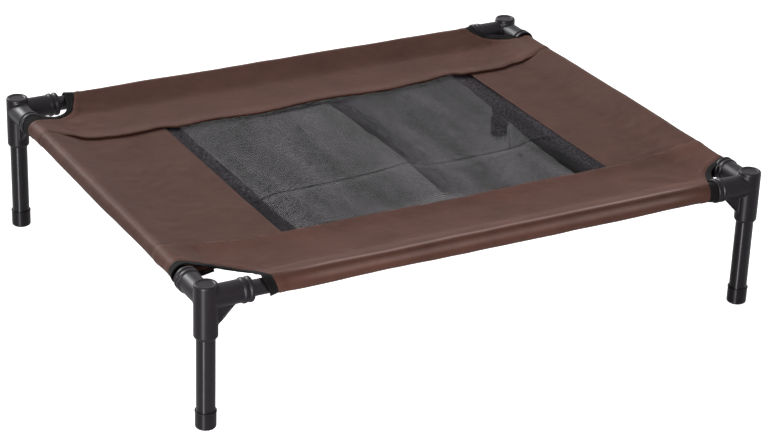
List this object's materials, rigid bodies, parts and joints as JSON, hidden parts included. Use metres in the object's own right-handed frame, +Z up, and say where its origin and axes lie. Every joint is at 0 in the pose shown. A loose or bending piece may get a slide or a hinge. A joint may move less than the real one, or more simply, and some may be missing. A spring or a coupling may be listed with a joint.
{
  "type": "raised dog cot",
  "caption": "Raised pet cot: brown sewn cover with a see-through mesh window, sleeved on black tube rails, moulded corner connectors and pull-out legs with foot caps.",
  "frame": {"origin": "on the floor under the middle of the cot, half way between the four legs", "axes": "+X along the long side to the right, +Y across towards the back, +Z up"},
  "size_m": [0.762, 0.612, 0.18],
  "materials": {
    "connector_plastic": "satin black moulded plastic",
    "tube_coating": "glossy black powder coat on steel tube",
    "foot_plastic": "satin black moulded plastic",
    "border_cloth": "coated brown plain-weave polyester",
    "mesh_cloth": "dark grey open coated mesh",
    "binding_tape": "black woven binding tape"
  },
  "bodies": {
    "frame": {"front_left_connector": "connector_plastic", "front_right_connector": "connector_plastic", "back_left_connector": "connector_plastic", "back_right_connector": "connector_plastic", "front_rail": "tube_coating", "back_rail": "tube_coating", "left_rail": "tube_coating", "right_rail": "tube_coating", "front_border": "border_cloth", "back_border": "border_cloth", "left_border": "border_cloth", "right_border": "border_cloth", "mesh_panel": "mesh_cloth", "front_left_binding": "binding_tape", "front_right_binding": "binding_tape", "back_left_binding": "binding_tape", "back_right_binding": "binding_tape"},
    "front_left_leg": {"front_left_leg": "tube_coating", "front_left_foot": "foot_plastic"},
    "front_right_leg": {"front_right_leg": "tube_coating", "front_right_foot": "foot_plastic"},
    "back_left_leg": {"back_left_leg": "tube_coating", "back_left_foot": "foot_plastic"},
    "back_right_leg": {"back_right_leg": "tube_coating", "back_right_foot": "foot_plastic"}
  },
  "joints": [
    {"name": "front_left_leg_pull", "type": "slide", "parent": "frame", "child": "front_left_leg", "axis": [0, 0, -1], "range_m": [0, 0.0585]},
    {"name": "front_right_leg_pull", "type": "slide", "parent": "frame", "child": "front_right_leg", "axis": [0, 0, -1], "range_m": [0, 0.0585]},
    {"name": "back_left_leg_pull", "type": "slide", "parent": "frame", "child": "back_left_leg", "axis": [0, 0, -1], "range_m": [0, 0.0585]},
    {"name": "back_right_leg_pull", "type": "slide", "parent": "frame", "child": "back_right_leg", "axis": [0, 0, -1], "range_m": [0, 0.0585]}
  ]
}
